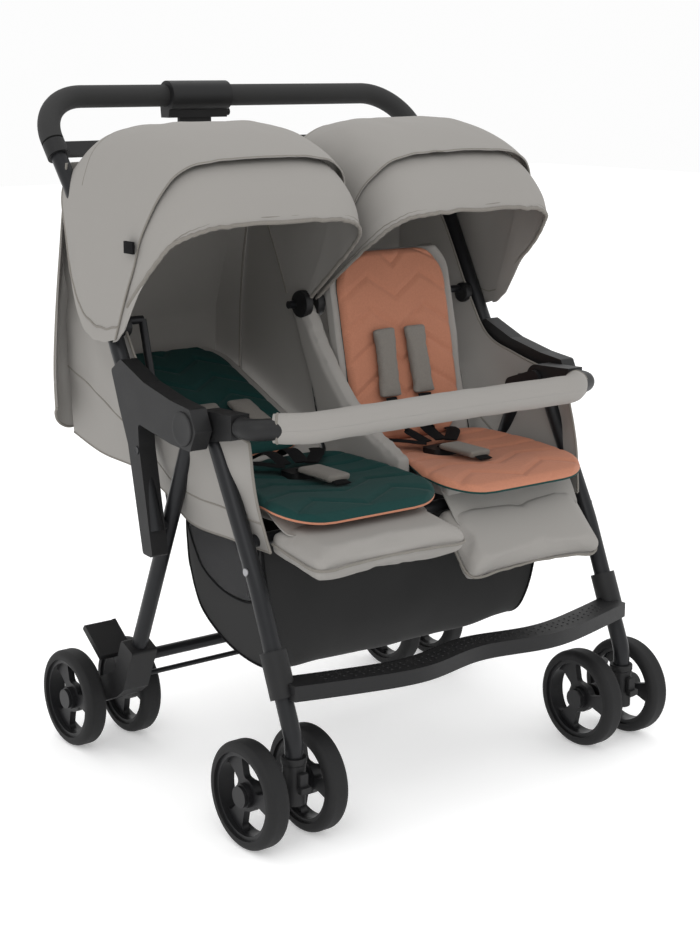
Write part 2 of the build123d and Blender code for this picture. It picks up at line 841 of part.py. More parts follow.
with BuildPart() as trigger:
    with BuildSketch(Plane.XY.offset(housing_low + 3)):
        with Locations((housing_x, handle_y)):
            RectangleRounded(60, 10, 3)
    extrude(amount=-22)
save(trigger, "fold_trigger")

with BuildPart() as lock_button:
    with BuildSketch(Plane.YZ.offset(housing_x + housing_width / 2 + 0.5)):
        with Locations((handle_y, housing_low + 8)):
            Circle(lock_radius)
    extrude(amount=9)
save(lock_button, "lock_button")

arm_wall = 1.5
arm_inner_x = push_bar_half - push_bar_radius - arm_wall
arm_outer_x = push_bar_half + push_bar_radius + arm_wall
arm_profile = [
    (pivot_y - 18, pivot_z + 29), (pivot_y + 30, pivot_z + 35), (pivot_y + 98, pivot_z + 50),
    (push_knee[0] + 12, push_knee[1] + 60), (push_knee[0] + 38, push_knee[1] + 42),
    (push_knee[0] + 18, push_knee[1] - 10), (push_knee[0] - 4, push_knee[1] - 60),
    (push_foot[0] + 14, push_foot[1] - 34), (push_foot[0] - 12, push_foot[1] - 36),
    (push_knee[0] - 34, push_knee[1] - 60), (push_knee[0] - 32, push_knee[1] - 26),
    (pivot_y + 30, pivot_z - 26), (pivot_y - 18, pivot_z - 29), (pivot_y - 32, pivot_z),
]
for side in (LEFT, RIGHT):
    arm = plate(side, arm_inner_x, arm_outer_x, arm_profile, 5, [(*pivot, pivot_radius + running_fit)])
    save(arm, f"armrest_{SIDE_NAMES[side]}")
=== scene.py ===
"""Looks of a side-by-side twin stroller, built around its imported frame. Metres, +Z up, front towards -Y."""

import json
import logging
import math
from dataclasses import dataclass, field
from enum import Enum
from typing import Callable, Sequence

import bmesh
import bpy
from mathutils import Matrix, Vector, noise


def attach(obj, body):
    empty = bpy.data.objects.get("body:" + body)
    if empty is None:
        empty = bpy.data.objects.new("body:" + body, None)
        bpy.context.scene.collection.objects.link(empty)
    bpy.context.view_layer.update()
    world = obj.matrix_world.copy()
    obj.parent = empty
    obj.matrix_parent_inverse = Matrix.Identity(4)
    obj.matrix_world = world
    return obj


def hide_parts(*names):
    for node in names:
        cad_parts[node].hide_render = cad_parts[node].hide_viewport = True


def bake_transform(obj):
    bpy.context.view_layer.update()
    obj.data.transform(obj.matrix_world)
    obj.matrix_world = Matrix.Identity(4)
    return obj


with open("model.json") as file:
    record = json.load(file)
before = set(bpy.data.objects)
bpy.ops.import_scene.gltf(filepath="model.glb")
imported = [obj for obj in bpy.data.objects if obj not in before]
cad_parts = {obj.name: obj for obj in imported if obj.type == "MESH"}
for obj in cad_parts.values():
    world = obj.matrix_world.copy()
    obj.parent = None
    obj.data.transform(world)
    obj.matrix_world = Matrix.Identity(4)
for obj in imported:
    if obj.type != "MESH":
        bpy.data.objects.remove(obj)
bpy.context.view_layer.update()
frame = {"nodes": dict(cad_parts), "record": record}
log = logging.getLogger("stroller")

Point = tuple[float, float, float]
Colour = tuple[float, float, float]

WOVEN_SPECULAR = 0.12


class Side(Enum):
    """A side of the stroller, with the sign of its X."""

    LEFT = -1
    RIGHT = 1

    @property
    def word(self) -> str:
        """The side's name as the frame's nodes use it."""
        return self.name.lower()


class Texture(Enum):
    """The kinds of surface detail that a finish can have."""

    WOVEN = "woven"
    MOULDED = "moulded"


# ---------------------------------------------------------------- finishes


def new_group(name: str, inputs: Sequence[tuple[str, str]]) -> bpy.types.NodeTree:
    """Make an empty shader group with the given inputs and the outputs Color, Roughness and Height.

    Args:
        name: The group's name.
        inputs: Pairs of socket name and socket type.

    Returns:
        The new node group.
    """
    group = bpy.data.node_groups.new(name, "ShaderNodeTree")
    for label, kind in inputs:
        group.interface.new_socket(label, in_out="INPUT", socket_type=kind)
    group.interface.new_socket("Color", in_out="OUTPUT", socket_type="NodeSocketColor")
    group.interface.new_socket("Roughness", in_out="OUTPUT", socket_type="NodeSocketFloat")
    group.interface.new_socket("Height", in_out="OUTPUT", socket_type="NodeSocketFloat")
    return group


def shade(nodes: bpy.types.Nodes, links: bpy.types.NodeLinks, colour: bpy.types.NodeSocket,
          mask: bpy.types.NodeSocket, low: float, high: float) -> bpy.types.NodeSocket:
    """Scale a colour's value by a mask mapped to the range from low to high."""
    span = nodes.new("ShaderNodeMapRange")
    span.inputs["To Min"].default_value = low
    span.inputs["To Max"].default_value = high
    links.new(mask, span.inputs["Value"])
    hsv = nodes.new("ShaderNodeHueSaturation")
    links.new(span.outputs["Result"], hsv.inputs["Value"])
    links.new(colour, hsv.inputs["Color"])
    return hsv.outputs["Color"]


def weave_group() -> bpy.types.NodeTree:
    """The woven cloth group: crossed threads, slubs and slow fading over the panel."""
    group = new_group("cloth_weave", [("Base", "NodeSocketColor"), ("Thread", "NodeSocketFloat")])
    nodes, links = group.nodes, group.links
    inside = nodes.new("NodeGroupInput")
    outside = nodes.new("NodeGroupOutput")
    coords = nodes.new("ShaderNodeTexCoord")
    heights = []
    for turn in ((0.0, 0.0, 0.0), (0.0, math.pi / 2, math.pi / 2)):
        mapping = nodes.new("ShaderNodeMapping")
        mapping.inputs["Rotation"].default_value = turn
        links.new(coords.outputs["Object"], mapping.inputs["Vector"])
        wave = nodes.new("ShaderNodeTexWave")
        wave.bands_direction = "DIAGONAL"
        wave.inputs["Distortion"].default_value = 1.5
        wave.inputs["Detail Scale"].default_value = 2.0
        links.new(mapping.outputs["Vector"], wave.inputs["Vector"])
        links.new(inside.outputs["Thread"], wave.inputs["Scale"])
        heights.append(wave.outputs["Fac"])
    threads = nodes.new("ShaderNodeMath")
    threads.operation = "MAXIMUM"
    links.new(heights[0], threads.inputs[0])
    links.new(heights[1], threads.inputs[1])
    slub = nodes.new("ShaderNodeTexNoise")
    slub.inputs["Scale"].default_value = 340.0
    slub.inputs["Detail"].default_value = 4.0
    links.new(coords.outputs["Object"], slub.inputs["Vector"])
    fade = nodes.new("ShaderNodeTexNoise")
    fade.inputs["Scale"].default_value = 9.0
    fade.inputs["Detail"].default_value = 3.0
    links.new(coords.outputs["Object"], fade.inputs["Vector"])
    tone = shade(nodes, links, inside.outputs["Base"], threads.outputs[0], 0.90, 1.03)
    tone = shade(nodes, links, tone, slub.outputs["Fac"], 0.88, 1.12)
    tone = shade(nodes, links, tone, fade.outputs["Fac"], 0.93, 1.07)
    rough = nodes.new("ShaderNodeMapRange")
    rough.inputs["To Min"].default_value = 0.78
    rough.inputs["To Max"].default_value = 0.95
    links.new(slub.outputs["Fac"], rough.inputs["Value"])
    total = nodes.new("ShaderNodeMath")
    total.operation = "ADD"
    links.new(threads.outputs[0], total.inputs[0])
    links.new(slub.outputs["Fac"], total.inputs[1])
    links.new(tone, outside.inputs["Color"])
    links.new(rough.outputs["Result"], outside.inputs["Roughness"])
    links.new(total.outputs[0], outside.inputs["Height"])
    return group


def grain_group() -> bpy.types.NodeTree:
    """The moulded and coated group: fine grain, slow tone changes, and scuffs."""
    inputs = [("Base", "NodeSocketColor"), ("Grain", "NodeSocketFloat"), ("Smooth", "NodeSocketFloat")]
    group = new_group("surface_grain", inputs)
    nodes, links = group.nodes, group.links
    inside = nodes.new("NodeGroupInput")
    outside = nodes.new("NodeGroupOutput")
    coords = nodes.new("ShaderNodeTexCoord")
    grain = nodes.new("ShaderNodeTexNoise")
    grain.inputs["Detail"].default_value = 5.0
    links.new(coords.outputs["Object"], grain.inputs["Vector"])
    links.new(inside.outputs["Grain"], grain.inputs["Scale"])
    scuff = nodes.new("ShaderNodeTexNoise")
    scuff.inputs["Scale"].default_value = 26.0
    scuff.inputs["Detail"].default_value = 6.0
    scuff.inputs["Roughness"].default_value = 0.7
    links.new(coords.outputs["Object"], scuff.inputs["Vector"])
    tone = shade(nodes, links, inside.outputs["Base"], grain.outputs["Fac"], 0.85, 1.18)
    tone = shade(nodes, links, tone, scuff.outputs["Fac"], 0.85, 1.2)
    wobble = nodes.new("ShaderNodeMapRange")
    wobble.inputs["To Min"].default_value = -0.08
    wobble.inputs["To Max"].default_value = 0.10
    links.new(scuff.outputs["Fac"], wobble.inputs["Value"])
    rough = nodes.new("ShaderNodeMath")
    rough.operation = "ADD"
    links.new(inside.outputs["Smooth"], rough.inputs[0])
    links.new(wobble.outputs["Result"], rough.inputs[1])
    links.new(tone, outside.inputs["Color"])
    links.new(rough.outputs[0], outside.inputs["Roughness"])
    links.new(grain.outputs["Fac"], outside.inputs["Height"])
    return group


@dataclass(frozen=True)
class Finish:
    """One finish of the stroller and the shader values that make it."""

    name: str
    colour: Colour
    texture: Texture
    scale: float
    roughness: float = 0.8
    metallic: float = 0.0
    sheen: float = 0.0
    bump: float = 0.2
    depth: float = 0.0004
    alpha: float = 1.0
    specular: float = 0.3

    def material(self) -> bpy.types.Material:
        """The Blender material of this finish, made once."""
        made = bpy.data.materials.get(self.name)
        if made:
            return made
        made = bpy.data.materials.new(self.name)
        made.use_nodes = True
        nodes, links = made.node_tree.nodes, made.node_tree.links
        shader = nodes["Principled BSDF"]
        shader.inputs["Metallic"].default_value = self.metallic
        shader.inputs["Sheen Weight"].default_value = self.sheen
        shader.inputs["Alpha"].default_value = self.alpha
        woven = self.texture is Texture.WOVEN
        shader.inputs["Specular IOR Level"].default_value = WOVEN_SPECULAR if woven else self.specular
        detail = nodes.new("ShaderNodeGroup")
        detail.node_tree = WEAVE if woven else GRAIN
        detail.inputs["Base"].default_value = (*self.colour, 1.0)
        detail.inputs["Thread" if woven else "Grain"].default_value = self.scale
        if not woven:
            detail.inputs["Smooth"].default_value = self.roughness
        links.new(detail.outputs["Color"], shader.inputs["Base Color"])
        links.new(detail.outputs["Roughness"], shader.inputs["Roughness"])
        bump = nodes.new("ShaderNodeBump")
        bump.inputs["Strength"].default_value = self.bump
        bump.inputs["Distance"].default_value = self.depth
        links.new(detail.outputs["Height"], bump.inputs["Height"])
        links.new(bump.outputs["Normal"], shader.inputs["Normal"])
        return made


WEAVE = weave_group()
GRAIN = grain_group()
GREY_CLOTH = Finish("grey_cloth", (0.218, 0.203, 0.181), Texture.WOVEN, 190.0, sheen=0.12)
HEM_CLOTH = Finish("hem_cloth", (0.195, 0.182, 0.163), Texture.WOVEN, 260.0, sheen=0.1)
PAD_CLOTH = Finish("pad_cloth", (0.185, 0.172, 0.155), Texture.WOVEN, 240.0, sheen=0.1)
TEAL_CLOTH = Finish("teal_cloth", (0.008, 0.040, 0.037), Texture.WOVEN, 300.0, sheen=0.05)
PEACH_CLOTH = Finish("peach_cloth", (0.43, 0.185, 0.115), Texture.WOVEN, 300.0, sheen=0.08)
BASKET_CLOTH = Finish("basket_cloth", (0.0045, 0.0045, 0.005), Texture.WOVEN, 220.0, sheen=0.03)
MESH_CLOTH = Finish("mesh_cloth", (0.075, 0.075, 0.077), Texture.WOVEN, 120.0, alpha=0.45, bump=0.6)
WEBBING = Finish("webbing", (0.006, 0.006, 0.0065), Texture.WOVEN, 420.0, bump=0.5)
TUBE_COAT = Finish("tube_coat", (0.014, 0.0145, 0.016), Texture.MOULDED, 700.0, 0.36, metallic=0.35)
BLACK_MOULD = Finish("black_mould", (0.009, 0.009, 0.0095), Texture.MOULDED, 900.0, 0.50, bump=0.35)
WHEEL_MOULD = Finish("wheel_mould", (0.010, 0.010, 0.011), Texture.MOULDED, 800.0, 0.42, bump=0.25)
TYRE_RUBBER = Finish("tyre_rubber", (0.009, 0.009, 0.0095), Texture.MOULDED, 500.0, 0.68, bump=0.4)
GRIP_FOAM = Finish("grip_foam", (0.008, 0.008, 0.0085), Texture.MOULDED, 420.0, 0.78, bump=0.6)
ZINC = Finish("zinc", (0.30, 0.30, 0.31), Texture.MOULDED, 600.0, 0.35, metallic=0.9)

# ---------------------------------------------------------------- making meshes


def deselect() -> None:
    """Leave edit mode and clear the selection."""
    if bpy.context.object and bpy.context.object.mode != "OBJECT":
        bpy.ops.object.mode_set(mode="OBJECT")
    bpy.ops.object.select_all(action="DESELECT")


def apply_modifier(piece: bpy.types.Object, kind: str, **values: object) -> None:
    """Add a modifier with the given values and apply it."""
    deselect()
    bpy.context.view_layer.objects.active = piece
    piece.select_set(True)
    modifier = piece.modifiers.new(kind.lower(), kind)
    for label, value in values.items():
        setattr(modifier, label, value)
    bpy.ops.object.modifier_apply(modifier=modifier.name)
    deselect()


def settle(piece: bpy.types.Object, finish: Finish, angle: float = 40.0) -> None:
    """Bake the place into the mesh, shade it smooth by angle and give it its finish."""
    deselect()
    bpy.context.view_layer.objects.active = piece
    piece.select_set(True)
    bpy.ops.object.transform_apply(location=True, rotation=True, scale=True)
    bpy.ops.object.shade_smooth_by_angle(angle=math.radians(angle))
    if not piece.data.materials:
        piece.data.materials.append(finish.material())
    deselect()


def mount(piece: bpy.types.Object, body: str, slot: str, *nodes: str) -> bpy.types.Object:
    """Make a piece ride on a body and hide the frame nodes that it stands for."""
    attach(piece, body)
    if nodes:
        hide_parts(*nodes)
    log.info("%s rides on %s", piece.name, body)
    return piece


def cloth(name: str, columns: int, rows: int, place: Callable[[float, float], Point], finish: Finish,
          thickness: float = 0.0016) -> bpy.types.Object:
    """Make a sheet of cloth from a grid laid over a surface, with a real thickness.

    Args:
        name: The piece's name.
        columns: Faces across.
        rows: Faces along.
        place: Gives the point for each share across and along, both 0 to 1.
        finish: Its finish.
        thickness: The cloth's thickness in metres.

    Returns:
        The finished piece.
    """
    deselect()
    bpy.ops.mesh.primitive_grid_add(x_subdivisions=columns, y_subdivisions=rows, size=1.0)
    piece = bpy.context.object
    piece.name = name
    for vertex in piece.data.vertices:
        vertex.co = Vector(place(vertex.co.x + 0.5, vertex.co.y + 0.5))
    apply_modifier(piece, "SOLIDIFY", thickness=thickness, offset=0.0)
    settle(piece, finish)
    return piece


def rounded_slab(name: str, low: Point, high: Point, corner: float, edge: float) -> bpy.types.Object:
    """Make a slab with round corners in plan and soft edges, from a cube shaped in edit mode."""
    deselect()
    middle = [(a + b) / 2 for a, b in zip(low, high)]
    bpy.ops.mesh.primitive_cube_add(size=1.0, location=middle)
    piece = bpy.context.object
    piece.name = name
    piece.scale = [b - a for a, b in zip(low, high)]
    bpy.ops.object.transform_apply(location=True, rotation=True, scale=True)
    bpy.ops.object.mode_set(mode="EDIT")
    mesh = bmesh.from_edit_mesh(piece.data)
    for item in mesh.edges:
        rise = abs(item.verts[0].co.z - item.verts[1].co.z)
        item.select_set(rise > 0.5 * (high[2] - low[2]))
    bmesh.update_edit_mesh(piece.data)
    bpy.ops.mesh.bevel(offset=corner, segments=6, affect="EDGES")
    bpy.ops.mesh.select_all(action="SELECT")
    bpy.ops.object.mode_set(mode="OBJECT")
    apply_modifier(piece, "BEVEL", width=edge, segments=3, limit_method="ANGLE", angle_limit=math.radians(50))
    return piece


def flip_faces(piece: bpy.types.Object) -> None:
    """Turn a mirrored mesh's faces outward again."""
    mesh = bmesh.new()
    mesh.from_mesh(piece.data)
    bmesh.ops.recalc_face_normals(mesh, faces=mesh.faces)
    mesh.to_mesh(piece.data)
    mesh.free()


def inflate(piece: bpy.types.Object, voxel: float, pressure: float, cap: float) -> None:
    """Swell a pad with a cloth simulation and keep the result.

    Args:
        piece: A closed mesh with its place in its vertices.
        voxel: Size of the remesh in metres.
        pressure: The air pressure of the simulation.
        cap: The furthest that a point may move, in metres.
    """
    apply_modifier(piece, "REMESH", mode="VOXEL", voxel_size=voxel)
    before = [vertex.co.copy() for vertex in piece.data.vertices]
    modifier = piece.modifiers.new("air", "CLOTH")
    settings = modifier.settings
    settings.use_pressure = True
    settings.uniform_pressure_force = pressure
    settings.effector_weights.gravity = 0.0
    settings.tension_stiffness = 25.0
    settings.compression_stiffness = 25.0
    settings.bending_stiffness = 0.6
    modifier.point_cache.frame_start = 1
    modifier.point_cache.frame_end = 20
    for step in range(1, 19):
        bpy.context.scene.frame_set(step)
    deselect()
    bpy.context.view_layer.objects.active = piece
    piece.select_set(True)
    bpy.ops.object.modifier_apply(modifier=modifier.name)
    bpy.context.scene.frame_set(1)
    for vertex, start in zip(piece.data.vertices, before):
        move = vertex.co - start
        if move.length > cap:
            vertex.co = start + move.normalized() * cap
    apply_modifier(piece, "SUBSURF", levels=1, render_levels=1)


def smooth_path(points: Sequence[Point], count: int, closed: bool = False) -> list[Vector]:
    """Points along a Catmull-Rom curve through the given points."""
    spots = [Vector(point) for point in points]
    last = len(spots) if closed else len(spots) - 1
    result = []
    for index in range(count + (0 if closed else 1)):
        place = index / count * last
        start = min(int(place), last - 1)
        share = place - start
        if closed:
            a, b, c, d = (spots[(start + step) % len(spots)] for step in (-1, 0, 1, 2))
        else:
            a, b, c, d = (spots[max(0, min(len(spots) - 1, start + step))] for step in (-1, 0, 1, 2))
        result.append(0.5 * ((2 * b) + (c - a) * share + (2 * a - 5 * b + 4 * c - d) * share ** 2
                             + (3 * b - a - 3 * c + d) * share ** 3))
    return result


def strand(name: str, points: Sequence[Point], finish: Finish, width: float, height: float | None = None,
           closed: bool = False, count: int = 60) -> bpy.types.Object:
    """Make a round cord, piping or flat strap along a smooth path.

    Args:
        name: The piece's name.
        points: The path's points.
        finish: Its finish.
        width: Its width in metres.
        height: Its thickness in metres, the width if not given.
        closed: Whether the path is a ring.
        count: Steps along the path.

    Returns:
        The finished piece.
    """
    deselect()
    height = width if height is None else height
    bpy.ops.mesh.primitive_circle_add(vertices=12, radius=0.5, fill_type="NOTHING")
    section = bpy.context.object
    section.scale = (width, height, 1.0)
    bpy.ops.object.transform_apply(location=True, rotation=True, scale=True)
    bpy.ops.object.convert(target="CURVE")
    line = bpy.data.curves.new(name, "CURVE")
    line.dimensions = "3D"
    spline = line.splines.new("POLY")
    route = smooth_path(points, count, closed)
    spline.points.add(len(route) - 1)
    for spot, point in zip(spline.points, route):
        spot.co = (*point, 1.0)
    spline.use_cyclic_u = closed
    line.bevel_mode = "OBJECT"
    line.bevel_object = section
    line.use_fill_caps = not closed
    line.twist_mode = "Z_UP"
    piece = bpy.data.objects.new(name, line)
    bpy.context.scene.collection.objects.link(piece)
    bpy.context.view_layer.objects.active = piece
    piece.select_set(True)
    section.select_set(False)
    bpy.ops.object.convert(target="MESH")
    bpy.data.objects.remove(section)
    settle(piece, finish)
    return piece


def disc(name: str, centre: Point, axis: str, radius: float, depth: float, finish: Finish,
         bevel: float = 0.001) -> bpy.types.Object:
    """Make a round cap with a bevelled rim and an inset face."""
    deselect()
    turns = {"X": (0.0, math.pi / 2, 0.0), "Y": (math.pi / 2, 0.0, 0.0), "Z": (0.0, 0.0, 0.0)}
    bpy.ops.mesh.primitive_cylinder_add(
        vertices=40, radius=radius, depth=depth, location=centre, rotation=turns[axis])
    piece = bpy.context.object
    piece.name = name
    bpy.ops.object.mode_set(mode="EDIT")
    mesh = bmesh.from_edit_mesh(piece.data)
    for item in mesh.faces:
        item.select_set(len(item.verts) > 4)
    bmesh.update_edit_mesh(piece.data)
    bpy.ops.mesh.inset(thickness=radius * 0.22, depth=-depth * 0.12, use_individual=True)
    bpy.ops.object.mode_set(mode="OBJECT")
    apply_modifier(piece, "BEVEL", width=bevel, segments=2, limit_method="ANGLE")
    settle(piece, finish)
    return piece


def lerp(low: float, high: float, share: float) -> float:
    """The value at a share of the way from low to high."""
    return low + (high - low) * share


def ripple(point: Sequence[float], scale: float, amount: float) -> float:
    """Slow fixed noise at a point, for creases in cloth."""
    return amount * noise.noise(Vector(point) * scale)


# ---------------------------------------------------------------- hard parts


@dataclass
class HardParts:
    """The frame's own nodes that show as they are, dressed in their finishes."""

    finishes: dict[str, Finish] = field(default_factory=lambda: {
        "tyre": TYRE_RUBBER,
        "wheel_plastic": WHEEL_MOULD,
        "frame_tube": TUBE_COAT,
        "seat_tube": TUBE_COAT,
        "steel_pin": ZINC,
        "black_plastic": BLACK_MOULD,
        "grip_foam": GRIP_FOAM,
        "bumper_core": BLACK_MOULD,
        "grey_cloth": GREY_CLOTH,
        "basket_cloth": BASKET_CLOTH,
    })
    black_pins: tuple[str, ...] = ("brake_rod", "canopy_pivots", "rear_axles", "fold_pivots")

    def build(self) -> None:
        """Give every frame node its material."""
        slots = {row["node"]: row["material_slot"] for row in frame["record"]["subparts"]}
        for name, node in frame["nodes"].items():
            finish = self.finishes[slots[name]]
            if name in self.black_pins:
                finish = TUBE_COAT
            node.data.materials.clear()
            node.data.materials.append(finish.material())


@dataclass
class FrameTrim:
    """Small covers and fasteners on the frame."""

    pivot: tuple[float, float] = (-0.098, 0.550)
    cover_x: float = 0.3605
    track: float = 0.314

    def build(self) -> None:
        """Make the pivot covers, rivets and footrest studs."""
        for side in Side:
            sign, word = side.value, side.word
            spot = (sign * self.cover_x, *self.pivot)
            cover = disc(f"pivot_cover_{word}", spot, "X", 0.024, 0.006, BLACK_MOULD, 0.002)
            mount(cover, "push_frame", "black_plastic")
            spot = (sign * (self.track + 0.0125), -0.1955, 0.365)
            rivet = disc(f"leg_rivet_{word}", spot, "X", 0.0055, 0.003, ZINC)
            mount(rivet, "seat_module", "steel_pin")
            spot = (sign * 0.3612, 0.022, 0.50)
            hook = disc(f"sleeve_screw_{word}", spot, "X", 0.006, 0.003, TUBE_COAT)
            mount(hook, "push_frame", "steel_pin")
            spot = (sign * self.track, -0.2865, 0.1235)
            ring = disc(f"stem_ring_{word}", spot, "Z", 0.0175, 0.011, BLACK_MOULD, 0.002)
            mount(ring, "seat_module", "black_plastic")
        self.studs()

    def studs(self) -> None:
        """Make the rows of grip studs on top of the footrest bar, as one piece."""
        bar = frame["nodes"]["footrest_bar"].data.vertices
        top = max(vertex.co.z for vertex in bar if abs(vertex.co.x) < 0.25)
        deselect()
        bpy.ops.mesh.primitive_uv_sphere_add(segments=8, ring_count=4, radius=0.0020)
        stud = bpy.context.object
        made = bmesh.new()
        for index in range(40):
            x = lerp(-0.262, 0.262, index / 39)
            near = [vertex.co.y for vertex in bar
                    if abs(vertex.co.x - x) < 0.014 and vertex.co.z > top - 0.012]
            if not near:
                continue
            for row in range(3):
                start = len(made.verts)
                made.from_mesh(stud.data)
                made.verts.ensure_lookup_table()
                y = min(near) + 0.016 + row * 0.009
                for vertex in made.verts[start:]:
                    vertex.co = Vector((vertex.co.x + x, vertex.co.y + y, vertex.co.z * 0.5 + top))
        made.to_mesh(stud.data)
        made.free()
        stud.name = "footrest_studs"
        settle(stud, BLACK_MOULD)
        mount(stud, "seat_module", "black_plastic")


@dataclass
class BumperBar:
    """The grey sleeve on the bumper bar, with its cuffs and seam."""

    height: float = 0.558
    sleeve_radius: float = 0.0205
    reach: float = 0.283

    def line(self, x: float) -> Point:
        """The bar's centre line at a place across the stroller."""
        far = abs(x) / 0.235
        y = -0.225 - 0.004 * min(1.0, far) ** 2
        if abs(x) > 0.235:
            y += 0.036 * ((abs(x) - 0.235) / 0.056) ** 1.6
        return x, y, self.height

    def build(self) -> None:
        """Make the sleeve, its end cuffs and its underside seam."""
        count = 90
        turn = 2 * math.pi

        def place(across: float, around: float) -> Point:
            x = lerp(-self.reach, self.reach, across)
            cx, cy, cz = self.line(x)
            ahead = Vector(self.line(x + 0.001)) - Vector(self.line(x - 0.001))
            out = Vector((ahead.y, -ahead.x, 0.0)).normalized()
            angle = around * turn
            swell = 1.0 + ripple((x, math.cos(angle) * 0.06, math.sin(angle) * 0.06), 26.0, 0.05)
            end = min(across, 1 - across) * 2 * self.reach
            swell *= 0.93 + 0.07 * min(1.0, end / 0.008)
            radius = self.sleeve_radius * swell
            spot = Vector((cx, cy, cz)) + out * radius * 0.88 * math.cos(angle)
            spot.z += radius * math.sin(angle)
            return tuple(spot)

        sleeve = cloth("bumper_sleeve", count, 36, place, GREY_CLOTH)
        mount(sleeve, "bumper", "grey_cloth")
        seam = strand("bumper_seam", [place(i / 40, 0.62) for i in range(41)], HEM_CLOTH, 0.0022)
        mount(seam, "bumper", "grey_cloth")
        for side in Side:
            share = 0.5 + side.value * 0.493
            ring = [place(share, i / 24) for i in range(24)]
            cuff = strand(f"bumper_cuff_{side.word}", ring, HEM_CLOTH, 0.0042, closed=True)
            mount(cuff, "bumper", "grey_cloth")


# ---------------------------------------------------------------- canopies


@dataclass
class Canopy:
    """One hood: a fixed rear panel over a side skirt, a back curtain, and a visor that turns under it."""

    side: Side
    pivot_y: float = 0.1145
    pivot_z: float = 0.670
    inner_x: float = 0.004
    outer_x: float = 0.366
    visor_share: float = 0.30
    drape: float = 0.050
    profile: tuple[tuple[float, float], ...] = (
        (-0.0905, 0.822), (-0.082, 0.862), (-0.050, 0.902), (0.0, 0.930), (0.060, 0.947), (0.125, 0.950),
        (0.190, 0.934), (0.238, 0.896),
    )
    skirt: tuple[tuple[float, float], ...] = (
        (0.035, 0.706), (0.040, 0.678), (0.062, 0.656), (0.095, 0.647), (0.128, 0.648), (0.158, 0.664),
        (0.178, 0.700), (0.188, 0.735),
    )
    inner_foot: tuple[tuple[float, float], ...] = (
        (0.088, 0.684), (0.104, 0.668), (0.128, 0.666), (0.150, 0.684),
    )

    def along_line(self, points: Sequence[tuple[float, float]], along: float) -> Vector:
        """The (y, z) point at a share along a smooth line."""
        line = smooth_path([(y, z, 0.0) for y, z in points], 40)
        place = max(0.0, min(1.0, along)) * 40
        low = min(int(place), 39)
        return line[low].lerp(line[low + 1], place - low)

    def place(self, across: float, along: float, inset: float = 0.0, sink: float = 0.0) -> Point:
        """A point of the hood's skin.

        Args:
            across: 0 at the outer skirt, over the crown, to 1 at the inner pivot.
            along: 0 at the front hem to 1 at the rear edge.
            inset: How far inside the skin the point lies.
            sink: How far the crown lies closer to the pivot.

        Returns:
            The point in metres.
        """
        pivot = Vector((self.pivot_y, self.pivot_z, 0.0))
        crown = self.along_line(self.profile, along)
        crown = crown.lerp(pivot, sink / (crown - pivot).length)
        foot = self.along_line(self.skirt if across < 0.5 else self.inner_foot, along)
        angle = math.pi * across
        lift = abs(math.sin(angle)) ** (0.46 if across < 0.5 else 0.40)
        reach = math.copysign(abs(math.cos(angle)) ** 0.46, math.cos(angle))
        middle = (self.inner_x + self.outer_x) / 2
        half = (self.outer_x - self.inner_x) / 2 - inset
        y = lerp(foot.x, crown.x, lift)
        z = lerp(foot.y, crown.y, lift)
        x = middle + reach * half
        mirror = x * self.side.value
        side_wall = min(1.0, abs(reach) ** 8)
        x -= side_wall * math.copysign(0.004, reach) * (1 - math.cos(2 * math.pi * lift)) * 0.5
        x += ripple((mirror, y * 1.3, z), 13.0, 0.0035) * side_wall * math.sin(math.pi * min(1.0, lift))
        crease = ripple((mirror * 1.4, y, z), 22.0, 0.0030)
        gather = 0.0020 * math.sin(along * 50 + 2 * reach) * math.exp(-(abs(reach) - 0.94) ** 2 / 0.004)
        pucker = 0.0006 * math.sin(across * 160.0) * math.exp(-(along / 0.05) ** 2)
        y += (crease + gather) * 0.8 * lift
        z += crease * 0.8 + gather + pucker - inset
        return self.side.value * x, y, z

    def curtain_place(self, across: float, down: float) -> Point:
        """A point of the back curtain: 0 to 1 across from outside, and 0 to 1 from top to foot."""
        foot = 0.478 + 0.045 * (1.0 - min(1.0, min(across, 1 - across) / 0.16)) ** 2
        z = lerp(0.892, foot, down)
        y = 0.238 + 0.050 * math.sin(down * math.pi / 2) + 0.006 * math.sin(math.pi * across)
        over_back = min(1.0, across / 0.22) ** 0.7 * min(1.0, (1 - across) / 0.045)
        y += self.drape * over_back * min(1.0, down / 0.62) ** 1.3
        y -= 0.022 * (1.0 - min(1.0, across / 0.10)) ** 2
        hang = 0.006 * math.sin(across * 17.0 + 1.0) * down ** 1.5
        x = lerp(0.352, 0.0035, across)
        return self.side.value * x, y + hang + ripple((x, z, 0.2), 9.0, 0.008) * down, z

    def build(self) -> None:
        """Make the panels, hems, seams, pivot bosses and the label tab."""
        word = self.side.word
        split = self.visor_share

        def rear(across: float, along: float) -> Point:
            return self.place(across, lerp(split, 1.0, along))

        def front(across: float, along: float) -> Point:
            return self.place(across, lerp(0.0, split + 0.05, along), 0.0028, 0.010 * along)

        hood = cloth(f"hood_{word}", 130, 80, rear, GREY_CLOTH, 0.0018)
        mount(hood, "seat_module", "grey_cloth", f"canopy_{word}")
        visor = cloth(f"visor_cloth_{word}", 260, 30, front, GREY_CLOTH, 0.0018)
        mount(visor, f"visor_{word}", "grey_cloth", f"visor_{word}")
        curtain = cloth(f"curtain_{word}", 60, 60, self.curtain_place, GREY_CLOTH, 0.0018)
        mount(curtain, "seat_module", "grey_cloth")
        self.hems(word)
        self.fittings(word)

